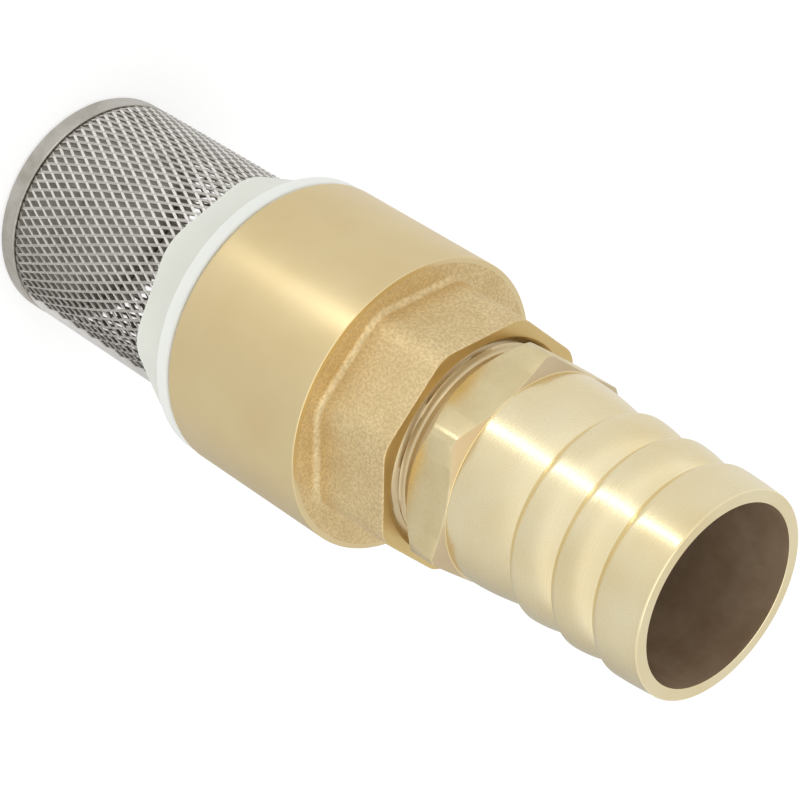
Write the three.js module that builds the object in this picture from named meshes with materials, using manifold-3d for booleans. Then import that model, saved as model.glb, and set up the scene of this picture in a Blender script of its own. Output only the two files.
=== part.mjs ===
// Foot valve for the bottom end of a suction hose: a strainer basket, a plastic strainer holder,
// a brass lift check valve with a spring-loaded poppet, and a barbed hose tail.
// Units are millimetres. The flow axis is +Z. The strainer's closed end lies on z = 0.

import * as THREE from "three";
import { mergeVertices } from "three/addons/utils/BufferGeometryUtils.js";
import Module from "manifold-3d";

const wasm = await Module();
wasm.setup();

// ---------------------------------------------------------------- driving dimensions

const GAP = 0.3; // clearance left between neighbouring pieces
const OVERLAP = 1; // how far two joined solids run into each other
const ROUND = 40; // segments of a large turned surface
const SMALL = 24; // segments of a small turned surface
const CORD_SIDES = 8; // sides of an O-ring's section
const CORD_SEGMENTS = 32; // segments round an O-ring

// Strainer basket
const STRAINER_R = 27.3; // outside radius of the expanded-metal tube
const STRAINER_WALL = 0.7;
const STRAINER_TOP = 61.4; // end of the tube inside the holder
const CAP_R = 27.1;
const CAP_HEIGHT = 4.85;
const CAP_WALL = 0.7;
const CAP_BEND = 0.8; // outside corner of the pressed cup
const NECK_BOTTOM = 1.2; // end of the tube inside the cap
const NECK_SLOPE = 0.4; // height over which the tube widens above the cap
const MESH_COLUMNS = 30; // diamonds round the tube
const MESH_ROWS = 3; // full diamonds along the tube
const STRAND = 0.19; // part of a diamond that a strand takes on each side
const PLAIN_BAND = 0.5; // width of the plain band at each end of the expanded part

// Strainer holder: octagon, flange and threaded spigot
const HOLDER_BOTTOM = 53.1;
const HOLDER_FLATS = 57.7; // across flats
const HOLDER_CORNER_R = 30.2;
const HOLDER_TURN = 19.45; // direction of one flat, degrees from +X
const FLANGE_R = 34.05;
const FLANGE_BOTTOM = 64.5;
const FLANGE_EDGE = 0.9;
const SPIGOT_R = 30.4;
const SPIGOT_TOP = 76.5;
const SPIGOT_CHAMFER = 0.6;
const HOLDER_BORE_R = 22.5;
const O_RING_R = 0.95; // cord radius of both O-rings
const O_RING_CENTRE_R = 29.35;
const O_RING_GROOVE_R = 28.1;
const O_RING_GROOVE = 2.6; // groove width
const HOLDER_O_RING_Z = 70.4;

// Valve body
const BODY_BOTTOM = 68.8;
const BODY_R = 34.25;
const BODY_SHOULDER = 109.44; // where the turned barrel ends and the octagon starts
const BODY_TOP = 129.65;
const BODY_FLATS = 54.7;
const BODY_CORNER_R = 29.0;
const BODY_EDGE = 0.5;
const INLET_R = 30.7; // bore that the holder screws into
const INLET_CHAMFER = 0.7;
const CAVITY_BOTTOM = 81.8;
const CAVITY_TOP = 106;
const CAVITY_R = 28.5;
const OUTLET_R = 20.8;
const SOCKET_BOTTOM = 110.6;
const THREAD_R = 23.9; // G 1 1/2 major radius
const SOCKET_MOUTH_R = 25.2;

// Seat ring
const SEAT_BOTTOM = SPIGOT_TOP + GAP;
const SEAT_RING_R = 30.2;
const SEAT_RING_TOP = CAVITY_BOTTOM - GAP;
const SEAT_R = 18.5; // flow radius through the seat
const SEAT_LIP = 82.5; // sealing face
const SEAT_LIP_WIDTH = 2;
const SEAT_LIP_FOOT = 3; // width where the lip meets the ring
const SEAT_BORE_HEIGHT = 3; // straight part of the bore under the lip
const SEAT_INLET_R = 22.3;
const SEAT_O_RING_Z = 79.3;

// Poppet
const SEAL_BOTTOM = SEAT_LIP + GAP;
const SEAL_TOP = 85;
const SEAL_R = 21.3;
const DISC_BOTTOM = SEAL_TOP + GAP;
const DISC_TOP = 88;
const DISC_R = 22;
const DISC_RIM = 1; // straight part of the rim
const DISC_BEVEL = 2;
const RETAINER_R = 16.2;
const RETAINER_TOP = SEAL_BOTTOM - GAP;
const RETAINER_BOTTOM = 80.4;
const NUT_TOP = RETAINER_BOTTOM - GAP;
const NUT_HEIGHT = 6.5;
const NUT_FLATS = 13;
const NUT_CORNER_R = 7.41;
const STEM_R = 3.9;
const STEM_BOTTOM = 72.5;
const STEM_TOP = 118;
const STEM_COLLAR_R = 6.5;
const STEM_COLLAR_TOP = 90.3;
const STEM_BEVEL = 0.7;
const STEM_HOLE_R = 4.3;

// Stem guide, its bush and the return spring
const GUIDE_BOTTOM = 103.4;
const GUIDE_RING_TOP = CAVITY_TOP - GAP;
const GUIDE_RING_R = 28.2;
const GUIDE_RING_BORE_R = 25.6;
const GUIDE_HUB_R = 12;
const GUIDE_HUB_TOP = 116;
const GUIDE_HUB_TOP_R = 9;
const GUIDE_HUB_SIDE = 5.6; // straight side of the hub, below its taper
const GUIDE_HOLE_R = 4.6;
const GUIDE_ARMS = 4;
const GUIDE_ARM_WIDTH = 3;
const SPRING_POCKET_R = 10.2;
const SPRING_POCKET_TOP = 107.7;
const BUSH_R = 6;
const BUSH_BORE_R = 4.2;
const BUSH_BOTTOM = 109;
const BUSH_FLANGE_R = 8.2;
const BUSH_FLANGE = 1.2;
const SPRING_R = 9;
const SPRING_WIRE_R = 0.6;
const SPRING_TURNS = 6;
const SPRING_CLOSED_TURNS = 0.9; // turns laid together at each end
const SPRING_CLOSED_PITCH = 1.26;

// Hose tail
const GASKET_TOP = 112.4;
const GASKET_BORE_R = 21.05;
const TAIL_BOTTOM = GASKET_TOP + GAP;
const TAIL_BORE_R = 20.55;
const TAIL_RELIEF_R = 22.35; // G 1 1/2 root radius
const TAIL_THREAD_END = 130.9;
const TAIL_THREAD_CHAMFER = 0.8;
const HEX_BOTTOM = 133.3;
const HEX_TOP = 145;
const HEX_FLATS = 49.2;
const HEX_TURN = 4.54; // direction of one flat, degrees from +X
const HEX_CORNER_R = 27.9;
const HEX_REAR_R = 24.2; // where the steep chamfer towards the body starts
const HEX_REAR_CHAMFER = 3.7;
const HEX_FRONT_R = 24.5; // where the flat chamfer towards the barbs starts
const HEX_FRONT_CHAMFER = 1.5;
const BARREL_R = 24.3; // plain part in front of the hexagon
const BARREL_TOP = 147; // where the plain part starts to curve in
const BARB_R = 23.95; // crest of each barb
const GROOVE_R = 22.2; // root between two barbs
const MOUTH_R = 23.4;
const BARB_ROOTS = [161.4, 173, 184.3]; // where each barb starts, from the hexagon to the mouth
const TAIL_TOP = 197.4;
const TAIL_LIP = 0.7; // bevel of the mouth's outer edge
const BARB_RISE = 0.24; // part of a barb's length that climbs to the crest
const BARB_FALL = 1.7; // how long the falling curve stays near the crest
const BARB_STEPS = 3; // points on each half of a barb

// ---------------------------------------------------------------- materials

const material = (color, roughness, metalness) =>
  new THREE.MeshStandardMaterial({ color, roughness, metalness });

const TURNED_BRASS = material(0xdfc98f, 0.28, 1);
const CAST_BRASS = material(0xd2b878, 0.5, 1);
const STAINLESS = material(0xbab5aa, 0.35, 1);
const WHITE_NYLON = material(0xe8eae0, 0.45, 0);
const NATURAL_ACETAL = material(0xf2efe6, 0.4, 0);
const BLACK_RUBBER = material(0x1c1c1c, 0.8, 0);
const SEAL_FIBRE = material(0x7b2d22, 0.85, 0);

// ---------------------------------------------------------------- helpers

const radians = THREE.MathUtils.degToRad;

/** Turns a three.js geometry into a closed solid whose faces point outward. */
function solid(geometry) {
  geometry.deleteAttribute("normal");
  geometry.deleteAttribute("uv");
  const welded = mergeVertices(geometry, 1e-4);
  const position = welded.attributes.position.array;
  const corners = [];
  const point = (i) => new THREE.Vector3().fromArray(position, 3 * i);
  let volume = 0;
  for (let i = 0; i < welded.index.count; i += 3) {
    const [a, b, c] = welded.index.array.slice(i, i + 3);
    if (a === b || b === c || c === a) continue; // a triangle that closed up on the axis
    corners.push([a, b, c]);
    volume += point(a).dot(point(b).cross(point(c)));
  }
  const outward = volume > 0 ? corners : corners.map(([a, b, c]) => [a, c, b]);
  return new wasm.Manifold(
    new wasm.Mesh({
      numProp: 3,
      vertProperties: new Float32Array(position),
      triVerts: new Uint32Array(outward.flat()),
    }),
  );
}

/** Solid of revolution about Z from [radius, z] points that start and end on the axis. */
function turned(profile, segments = ROUND) {
  const points = profile.map(([r, z]) => new THREE.Vector2(r, z));
  return solid(new THREE.LatheGeometry(points, segments).rotateX(Math.PI / 2));
}

/** Hollow solid of revolution: the profile is closed back to its first point. */
function turnedRing(profile, segments = ROUND) {
  return turned([...profile, profile[0]], segments);
}

/** Plain tube between two radii and two heights. */
function tube(innerR, outerR, bottom, top, segments = ROUND) {
  return turnedRing([[innerR, bottom], [outerR, bottom], [outerR, top], [innerR, top]], segments);
}

/** Solid cylinder from bottom to top. */
function plug(radius, bottom, top, segments = ROUND) {
  return turned([[0, bottom], [radius, bottom], [radius, top], [0, top]], segments);
}

/** Prism with flat sides whose corners are rounded off at cornerR. */
function flatSided(sides, acrossFlats, cornerR, turn, bottom, top) {
  const half = Math.acos(acrossFlats / 2 / cornerR);
  const step = (2 * Math.PI) / sides;
  const outline = new THREE.Shape();
  for (let i = 0; i < sides; i++) {
    const flat = radians(turn) + i * step;
    outline.absarc(0, 0, cornerR, flat + half, flat + step - half, false);
  }
  outline.closePath();
  const geometry = new THREE.ExtrudeGeometry(outline, {
    depth: top - bottom,
    bevelEnabled: false,
    curveSegments: 2,
  });
  return solid(geometry.translate(0, 0, bottom));
}

/** Rubber ring of round section. */
function oRing(z) {
  const section = [];
  const steps = CORD_SIDES;
  for (let i = 0; i < steps; i++) {
    const angle = (2 * Math.PI * i) / steps;
    section.push([O_RING_CENTRE_R + O_RING_R * Math.cos(angle), z + O_RING_R * Math.sin(angle)]);
  }
  return turnedRing(section, CORD_SEGMENTS);
}

const assembly = new THREE.Group();

/** Adds one named piece to the assembly. */
function addPiece(name, shape, finish) {
  const { numProp, vertProperties, triVerts } = shape.getMesh();
  const geometry = new THREE.BufferGeometry();
  geometry.setAttribute("position", new THREE.BufferAttribute(vertProperties.slice(), numProp));
  geometry.setIndex(new THREE.BufferAttribute(triVerts.slice(), 1));
  geometry.computeVertexNormals();
  const piece = new THREE.Mesh(geometry, finish);
  piece.name = name;
  assembly.add(piece);
}

// ---------------------------------------------------------------- strainer basket

/** Pressed steel cup that closes the end of the strainer tube. */
function strainerEndCap() {
  const inner = CAP_R - CAP_WALL;
  return turned([
    [0, 0],
    [CAP_R - CAP_BEND, 0],
    [CAP_R, CAP_BEND],
    [CAP_R, CAP_HEIGHT],
    [inner, CAP_HEIGHT],
    [inner, CAP_BEND],
    [0, CAP_BEND],
  ]);
}

/** Sheet of expanded metal rolled to a tube, with diamond holes longer along the axis than round it. */
function expandedMetal(bottom, top) {
  const outerR = STRAINER_R;
  const innerR = STRAINER_R - STRAINER_WALL;
  const columns = 2 * MESH_COLUMNS;
  const rows = 2 * MESH_ROWS;
  const position = [];
  const index = [];
  const seen = new Map();

  // A point of the rolled sheet; u counts half diamonds round the tube and v along it.
  const corner = (u, v, radius) => {
    const wrapped = (u + columns) % columns;
    const key = `${wrapped.toFixed(4)} ${v.toFixed(4)} ${radius}`;
    if (!seen.has(key)) {
      const angle = (2 * Math.PI * wrapped) / columns;
      const z = bottom + ((top - bottom) * v) / rows;
      seen.set(key, position.length / 3);
      position.push(radius * Math.cos(angle), radius * Math.sin(angle), z);
    }
    return seen.get(key);
  };
  const triangle = (a, b, c) => index.push(a, b, c);
  const quad = (a, b, c, d) => {
    triangle(a, b, c);
    triangle(a, c, d);
  };

  // One diamond: a frame of four strands on both faces of the sheet, and the four walls of its hole.
  const diamond = (u, v) => {
    const frame = [[1, 0], [0, 1], [-1, 0], [0, -1]];
    const keep = 1 - 2 * STRAND;
    const ends = (radius, size) => frame.map(([du, dv]) => corner(u + du * size, v + dv * size, radius));
    const [outer, outerHole] = [ends(outerR, 1), ends(outerR, keep)];
    const [inner, innerHole] = [ends(innerR, 1), ends(innerR, keep)];
    for (let i = 0; i < 4; i++) {
      const j = (i + 1) % 4;
      quad(outer[i], outer[j], outerHole[j], outerHole[i]);
      quad(inner[i], innerHole[i], innerHole[j], inner[j]);
      quad(outerHole[i], outerHole[j], innerHole[j], innerHole[i]);
    }
  };

  for (let v = 1; v < rows; v++) {
    for (let u = v % 2 ? 0 : 1; u < columns; u += 2) diamond(u, v);
  }

  // Half diamonds at both ends are left solid, and the sheet's edges are closed.
  for (let u = 1; u < columns; u += 2) {
    triangle(corner(u - 1, 0, outerR), corner(u + 1, 0, outerR), corner(u, 1, outerR));
    triangle(corner(u + 1, 0, innerR), corner(u - 1, 0, innerR), corner(u, 1, innerR));
    triangle(corner(u + 1, rows, outerR), corner(u - 1, rows, outerR), corner(u, rows - 1, outerR));
    triangle(corner(u - 1, rows, innerR), corner(u + 1, rows, innerR), corner(u, rows - 1, innerR));
    quad(corner(u - 1, 0, innerR), corner(u + 1, 0, innerR), corner(u + 1, 0, outerR), corner(u - 1, 0, outerR));
    quad(
      corner(u - 1, rows, outerR),
      corner(u + 1, rows, outerR),
      corner(u + 1, rows, innerR),
      corner(u - 1, rows, innerR),
    );
  }

  const geometry = new THREE.BufferGeometry();
  geometry.setAttribute("position", new THREE.Float32BufferAttribute(position, 3));
  geometry.setIndex(index);
  return solid(geometry);
}

/** The strainer tube: necked into the cap, expanded in the middle, plain inside the holder. */
function strainerMesh() {
  const innerR = STRAINER_R - STRAINER_WALL;
  const neckR = CAP_R - CAP_WALL - GAP;
  const neckTop = CAP_HEIGHT + GAP;
  const bandTop = neckTop + NECK_SLOPE + STRAINER_WALL + PLAIN_BAND;
  const collarBottom = HOLDER_BOTTOM - PLAIN_BAND;
  const neck = turnedRing(
    [
      [neckR - STRAINER_WALL, NECK_BOTTOM],
      [neckR, NECK_BOTTOM],
      [neckR, neckTop],
      [STRAINER_R, neckTop + NECK_SLOPE],
      [STRAINER_R, bandTop],
      [innerR, bandTop],
      [innerR, neckTop + STRAINER_WALL],
      [neckR - STRAINER_WALL, neckTop],
    ],
    MESH_COLUMNS,
  );
  const collar = tube(innerR, STRAINER_R, collarBottom, STRAINER_TOP, MESH_COLUMNS);
  const middle = expandedMetal(bandTop - PLAIN_BAND / 2, collarBottom + PLAIN_BAND / 2);
  return middle.add(neck).add(collar);
}

addPiece("strainer_end_cap", strainerEndCap(), STAINLESS);
addPiece("strainer_mesh", strainerMesh(), STAINLESS);

// ---------------------------------------------------------------- strainer holder

/** Moulded octagon that grips the strainer tube, with a flange and a spigot that screws into the body. */
function strainerHolder() {
  const flangeTop = BODY_BOTTOM - GAP;
  const grooveBottom = HOLDER_O_RING_Z - O_RING_GROOVE / 2;
  const grooveTop = HOLDER_O_RING_Z + O_RING_GROOVE / 2;
  const octagonTop = FLANGE_BOTTOM + OVERLAP;
  const octagon = flatSided(8, HOLDER_FLATS, HOLDER_CORNER_R, HOLDER_TURN, HOLDER_BOTTOM, octagonTop);
  const turnedPart = turned([
    [0, FLANGE_BOTTOM],
    [FLANGE_R - FLANGE_EDGE, FLANGE_BOTTOM],
    [FLANGE_R, FLANGE_BOTTOM + FLANGE_EDGE],
    [FLANGE_R, flangeTop - FLANGE_EDGE],
    [FLANGE_R - FLANGE_EDGE, flangeTop],
    [SPIGOT_R, flangeTop],
    [SPIGOT_R, grooveBottom],
    [O_RING_GROOVE_R, grooveBottom],
    [O_RING_GROOVE_R, grooveTop],
    [SPIGOT_R, grooveTop],
    [SPIGOT_R, SPIGOT_TOP - SPIGOT_CHAMFER],
    [SPIGOT_R - SPIGOT_CHAMFER, SPIGOT_TOP],
    [0, SPIGOT_TOP],
  ]);
  const recess = plug(STRAINER_R + GAP, HOLDER_BOTTOM - OVERLAP, STRAINER_TOP + GAP);
  const bore = plug(HOLDER_BORE_R, HOLDER_BOTTOM, SPIGOT_TOP + OVERLAP);
  return octagon.add(turnedPart).subtract(recess).subtract(bore);
}

addPiece("strainer_holder", strainerHolder(), WHITE_NYLON);
addPiece("holder_o_ring", oRing(HOLDER_O_RING_Z), BLACK_RUBBER);

// ---------------------------------------------------------------- seat

/** Ring with a raised sealing lip, held between the holder's spigot and a shoulder in the body. */
function seatRing() {
  const grooveBottom = SEAT_O_RING_Z - O_RING_GROOVE / 2;
  const grooveTop = SEAT_O_RING_Z + O_RING_GROOVE / 2;
  return turnedRing([
    [SEAT_INLET_R, SEAT_BOTTOM],
    [SEAT_RING_R, SEAT_BOTTOM],
    [SEAT_RING_R, grooveBottom],
    [O_RING_GROOVE_R, grooveBottom],
    [O_RING_GROOVE_R, grooveTop],
    [SEAT_RING_R, grooveTop],
    [SEAT_RING_R, SEAT_RING_TOP],
    [SEAT_R + SEAT_LIP_FOOT, SEAT_RING_TOP],
    [SEAT_R + SEAT_LIP_WIDTH, SEAT_LIP],
    [SEAT_R, SEAT_LIP],
    [SEAT_R, SEAT_LIP - SEAT_BORE_HEIGHT],
  ]);
}

addPiece("seat_ring", seatRing(), TURNED_BRASS);
addPiece("seat_o_ring", oRing(SEAT_O_RING_Z), BLACK_RUBBER);

// ---------------------------------------------------------------- valve body

/** Brass body: a turned barrel, a cast octagon, and the stepped bore through both. */
function valveBody() {
  const barrel = turned([
    [0, BODY_BOTTOM],
    [BODY_R - BODY_EDGE, BODY_BOTTOM],
    [BODY_R, BODY_BOTTOM + BODY_EDGE],
    [BODY_R, BODY_SHOULDER - BODY_EDGE],
    [BODY_R - BODY_EDGE, BODY_SHOULDER],
    [0, BODY_SHOULDER],
  ]);
  const octagon = flatSided(8, BODY_FLATS, BODY_CORNER_R, 0, BODY_SHOULDER - OVERLAP, BODY_TOP);
  const mouthDepth = SOCKET_MOUTH_R - THREAD_R;
  const bore = turned([
    [0, BODY_BOTTOM - OVERLAP],
    [INLET_R + INLET_CHAMFER + OVERLAP, BODY_BOTTOM - OVERLAP],
    [INLET_R, BODY_BOTTOM + INLET_CHAMFER],
    [INLET_R, CAVITY_BOTTOM],
    [CAVITY_R, CAVITY_BOTTOM],
    [CAVITY_R, CAVITY_TOP],
    [OUTLET_R, CAVITY_TOP],
    [OUTLET_R, SOCKET_BOTTOM],
    [THREAD_R, SOCKET_BOTTOM],
    [THREAD_R, BODY_TOP - mouthDepth],
    [SOCKET_MOUTH_R + OVERLAP, BODY_TOP + OVERLAP],
    [0, BODY_TOP + OVERLAP],
  ]);
  return barrel.add(octagon).subtract(bore);
}

addPiece("valve_body", valveBody(), CAST_BRASS);

// ---------------------------------------------------------------- poppet

/** Rod that carries the poppet: a threaded lower end, a collar above the disc and a guided upper end. */
function poppetStem() {
  return turned(
    [
      [0, STEM_BOTTOM],
      [STEM_R - STEM_BEVEL, STEM_BOTTOM],
      [STEM_R, STEM_BOTTOM + STEM_BEVEL],
      [STEM_R, DISC_TOP + GAP],
      [STEM_COLLAR_R, DISC_TOP + GAP],
      [STEM_COLLAR_R, STEM_COLLAR_TOP - STEM_BEVEL],
      [STEM_COLLAR_R - STEM_BEVEL, STEM_COLLAR_TOP],
      [STEM_R, STEM_COLLAR_TOP],
      [STEM_R, STEM_TOP - STEM_BEVEL],
      [STEM_R - STEM_BEVEL, STEM_TOP],
      [0, STEM_TOP],
    ],
    SMALL,
  );
}

/** Disc that backs the rubber seal. */
function poppetDisc() {
  return turnedRing([
    [STEM_HOLE_R, DISC_BOTTOM],
    [DISC_R, DISC_BOTTOM],
    [DISC_R, DISC_BOTTOM + DISC_RIM],
    [DISC_R - DISC_BEVEL, DISC_TOP],
    [STEM_HOLE_R, DISC_TOP],
  ]);
}

/** Lock nut on the stem's lower end. */
function retainerNut() {
  const bottom = NUT_TOP - NUT_HEIGHT;
  const blank = flatSided(6, NUT_FLATS, NUT_CORNER_R, 0, bottom, NUT_TOP);
  return blank.subtract(plug(STEM_HOLE_R, bottom - OVERLAP, NUT_TOP + OVERLAP, SMALL));
}

addPiece("poppet_stem", poppetStem(), STAINLESS);
addPiece("poppet_disc", poppetDisc(), TURNED_BRASS);
addPiece("disc_seal", tube(STEM_HOLE_R, SEAL_R, SEAL_BOTTOM, SEAL_TOP), BLACK_RUBBER);
addPiece("seal_retainer", tube(STEM_HOLE_R, RETAINER_R, RETAINER_BOTTOM, RETAINER_TOP, SMALL), STAINLESS);
addPiece("retainer_nut", retainerNut(), STAINLESS);

// ---------------------------------------------------------------- stem guide and spring

/** Spider that centres the stem: outer ring, straight arms, and a hub with a pocket for the spring. */
function stemGuide() {
  const armHeight = GUIDE_RING_TOP - GUIDE_BOTTOM;
  const armLength = GUIDE_RING_BORE_R - GUIDE_HUB_R + 2 * OVERLAP;
  const hub = turnedRing(
    [
      [SPRING_POCKET_R, GUIDE_BOTTOM],
      [GUIDE_HUB_R, GUIDE_BOTTOM],
      [GUIDE_HUB_R, GUIDE_BOTTOM + GUIDE_HUB_SIDE],
      [GUIDE_HUB_TOP_R, GUIDE_HUB_TOP],
      [BUSH_R + GAP, GUIDE_HUB_TOP],
      [BUSH_R + GAP, BUSH_BOTTOM - GAP],
      [GUIDE_HOLE_R, BUSH_BOTTOM - GAP],
      [GUIDE_HOLE_R, SPRING_POCKET_TOP],
      [SPRING_POCKET_R, SPRING_POCKET_TOP],
    ],
    SMALL,
  );
  let guide = hub.add(tube(GUIDE_RING_BORE_R, GUIDE_RING_R, GUIDE_BOTTOM, GUIDE_RING_TOP));
  for (let i = 0; i < GUIDE_ARMS; i++) {
    const arm = new THREE.BoxGeometry(armLength, GUIDE_ARM_WIDTH, armHeight);
    arm.translate((GUIDE_HUB_R + GUIDE_RING_BORE_R) / 2, 0, GUIDE_BOTTOM + armHeight / 2);
    arm.rotateZ(((i + 0.5) * 2 * Math.PI) / GUIDE_ARMS);
    guide = guide.add(solid(arm));
  }
  return guide;
}

/** Flanged plastic bush that the stem slides in. */
function guideBush() {
  const flangeBottom = GUIDE_HUB_TOP + GAP;
  return turnedRing(
    [
      [BUSH_BORE_R, BUSH_BOTTOM],
      [BUSH_R, BUSH_BOTTOM],
      [BUSH_R, flangeBottom],
      [BUSH_FLANGE_R, flangeBottom],
      [BUSH_FLANGE_R, flangeBottom + BUSH_FLANGE],
      [BUSH_BORE_R, flangeBottom + BUSH_FLANGE],
    ],
    SMALL,
  );
}

/** Centre line of a compression spring whose end turns lie close together. */
class SpringLine extends THREE.Curve {
  constructor(bottom, top) {
    super();
    this.bottom = bottom;
    this.top = top;
  }

  getPoint(t, target = new THREE.Vector3()) {
    const turn = t * SPRING_TURNS;
    const closed = SPRING_CLOSED_TURNS;
    const rise = SPRING_CLOSED_PITCH * closed;
    const openPitch = (this.top - this.bottom - 2 * rise) / (SPRING_TURNS - 2 * closed);
    const low = Math.min(turn, closed) * SPRING_CLOSED_PITCH;
    const high = Math.max(turn - (SPRING_TURNS - closed), 0) * SPRING_CLOSED_PITCH;
    const open = THREE.MathUtils.clamp(turn - closed, 0, SPRING_TURNS - 2 * closed) * openPitch;
    const angle = 2 * Math.PI * turn;
    const z = this.bottom + low + open + high;
    return target.set(SPRING_R * Math.cos(angle), SPRING_R * Math.sin(angle), z);
  }
}

/** Return spring between the poppet disc and the guide's hub. */
function returnSpring() {
  const wire = new THREE.Shape();
  wire.absarc(0, 0, SPRING_WIRE_R, 0, 2 * Math.PI, false);
  const bottom = DISC_TOP + GAP + SPRING_WIRE_R;
  const top = SPRING_POCKET_TOP - GAP - SPRING_WIRE_R;
  const geometry = new THREE.ExtrudeGeometry(wire, {
    extrudePath: new SpringLine(bottom, top),
    steps: SPRING_TURNS * 14,
    curveSegments: 3,
  });
  return solid(geometry);
}

addPiece("stem_guide", stemGuide(), TURNED_BRASS);
addPiece("guide_bush", guideBush(), NATURAL_ACETAL);
addPiece("return_spring", returnSpring(), STAINLESS);

// ---------------------------------------------------------------- hose tail

/** Curve that leaves crestR along the axis at z0 and falls to endR at z1. */
function fall(z0, z1, crestR, endR) {
  const points = [];
  for (let i = 1; i <= BARB_STEPS; i++) {
    const s = i / BARB_STEPS;
    points.push([crestR - (crestR - endR) * s ** BARB_FALL, z0 + (z1 - z0) * s]);
  }
  return points;
}

/** Outline of one barb, from its root at z0 to z1: a steep round climb, then a long falling curve. */
function barb(z0, z1, endR) {
  const crest = z0 + (z1 - z0) * BARB_RISE;
  const points = [];
  for (let i = 1; i <= BARB_STEPS; i++) {
    const s = i / BARB_STEPS;
    const climb = Math.sqrt(1 - (1 - s) ** 2);
    points.push([GROOVE_R + (BARB_R - GROOVE_R) * climb, z0 + (crest - z0) * s]);
  }
  return [...points, ...fall(crest, z1, BARB_R, endR)];
}

/** Barbed hose tail with a hexagon and a threaded spigot. */
function hoseTail() {
  const spigotR = THREAD_R - GAP;
  const ends = [...BARB_ROOTS.slice(1), TAIL_TOP - TAIL_LIP];
  const endRadii = [GROOVE_R, GROOVE_R, MOUTH_R];
  const barbs = BARB_ROOTS.flatMap((root, i) => barb(root, ends[i], endRadii[i]));
  const outside = turned([
    [0, TAIL_BOTTOM],
    [spigotR - TAIL_THREAD_CHAMFER, TAIL_BOTTOM],
    [spigotR, TAIL_BOTTOM + TAIL_THREAD_CHAMFER],
    [spigotR, TAIL_THREAD_END - TAIL_THREAD_CHAMFER],
    [TAIL_RELIEF_R, TAIL_THREAD_END],
    [TAIL_RELIEF_R, HEX_BOTTOM + OVERLAP],
    [BARREL_R, HEX_TOP - OVERLAP],
    [BARREL_R, BARREL_TOP],
    ...fall(BARREL_TOP, BARB_ROOTS[0], BARREL_R, GROOVE_R),
    ...barbs,
    [MOUTH_R - TAIL_LIP, TAIL_TOP],
    [0, TAIL_TOP],
  ]);
  const chamfered = turned([
    [0, HEX_BOTTOM],
    [HEX_REAR_R, HEX_BOTTOM],
    [HEX_CORNER_R, HEX_BOTTOM + HEX_REAR_CHAMFER],
    [HEX_CORNER_R, HEX_TOP - HEX_FRONT_CHAMFER],
    [HEX_FRONT_R, HEX_TOP],
    [0, HEX_TOP],
  ]);
  const hexagon = flatSided(6, HEX_FLATS, HEX_CORNER_R + GAP, HEX_TURN, HEX_BOTTOM, HEX_TOP);
  const bore = plug(TAIL_BORE_R, TAIL_BOTTOM - OVERLAP, TAIL_TOP + OVERLAP);
  return outside.add(hexagon.intersect(chamfered)).subtract(bore);
}

addPiece("tail_gasket", tube(GASKET_BORE_R, THREAD_R - GAP, SOCKET_BOTTOM + GAP, GASKET_TOP), SEAL_FIBRE);
addPiece("hose_tail", hoseTail(), TURNED_BRASS);

export default assembly;
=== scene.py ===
"""Foot valve: detailed meshes, materials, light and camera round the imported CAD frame.

Lengths inside the helpers are millimetres and become metres when a mesh is made.
"""

import math

import bmesh
import bpy
import numpy as np
from mathutils import Matrix, Vector


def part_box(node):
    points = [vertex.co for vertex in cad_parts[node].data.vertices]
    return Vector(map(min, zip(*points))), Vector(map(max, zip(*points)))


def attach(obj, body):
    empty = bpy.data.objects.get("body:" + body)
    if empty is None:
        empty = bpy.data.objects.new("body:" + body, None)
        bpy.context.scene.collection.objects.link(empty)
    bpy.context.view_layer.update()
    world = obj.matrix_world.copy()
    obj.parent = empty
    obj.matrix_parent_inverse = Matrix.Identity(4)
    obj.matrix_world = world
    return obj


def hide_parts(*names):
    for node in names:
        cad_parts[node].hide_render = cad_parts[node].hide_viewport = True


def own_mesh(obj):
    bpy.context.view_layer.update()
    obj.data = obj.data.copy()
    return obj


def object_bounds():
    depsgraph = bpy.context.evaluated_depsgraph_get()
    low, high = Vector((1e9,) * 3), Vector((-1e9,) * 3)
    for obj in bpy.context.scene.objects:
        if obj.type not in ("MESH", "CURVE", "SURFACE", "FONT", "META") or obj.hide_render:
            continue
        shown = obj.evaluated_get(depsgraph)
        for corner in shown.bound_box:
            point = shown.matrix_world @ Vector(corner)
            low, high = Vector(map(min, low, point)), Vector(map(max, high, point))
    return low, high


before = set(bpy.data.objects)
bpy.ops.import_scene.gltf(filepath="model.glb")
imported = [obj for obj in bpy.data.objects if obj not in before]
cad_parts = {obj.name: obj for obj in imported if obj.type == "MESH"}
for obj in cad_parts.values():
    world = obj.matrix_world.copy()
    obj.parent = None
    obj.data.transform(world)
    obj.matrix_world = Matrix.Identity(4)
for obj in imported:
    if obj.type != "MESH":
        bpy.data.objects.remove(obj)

CAD_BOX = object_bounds()
MM = 0.001
TAU = 2 * math.pi
HOUSING = "housing"
POPPET = "poppet"


# ---------------------------------------------------------------- sizes read from the frame


def span(node):
    """Lowest z, highest z and largest radius of a CAD node, in millimetres."""
    low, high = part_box(node)
    return low.z / MM, high.z / MM, max(high.x, high.y, -low.x, -low.y) / MM


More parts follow.
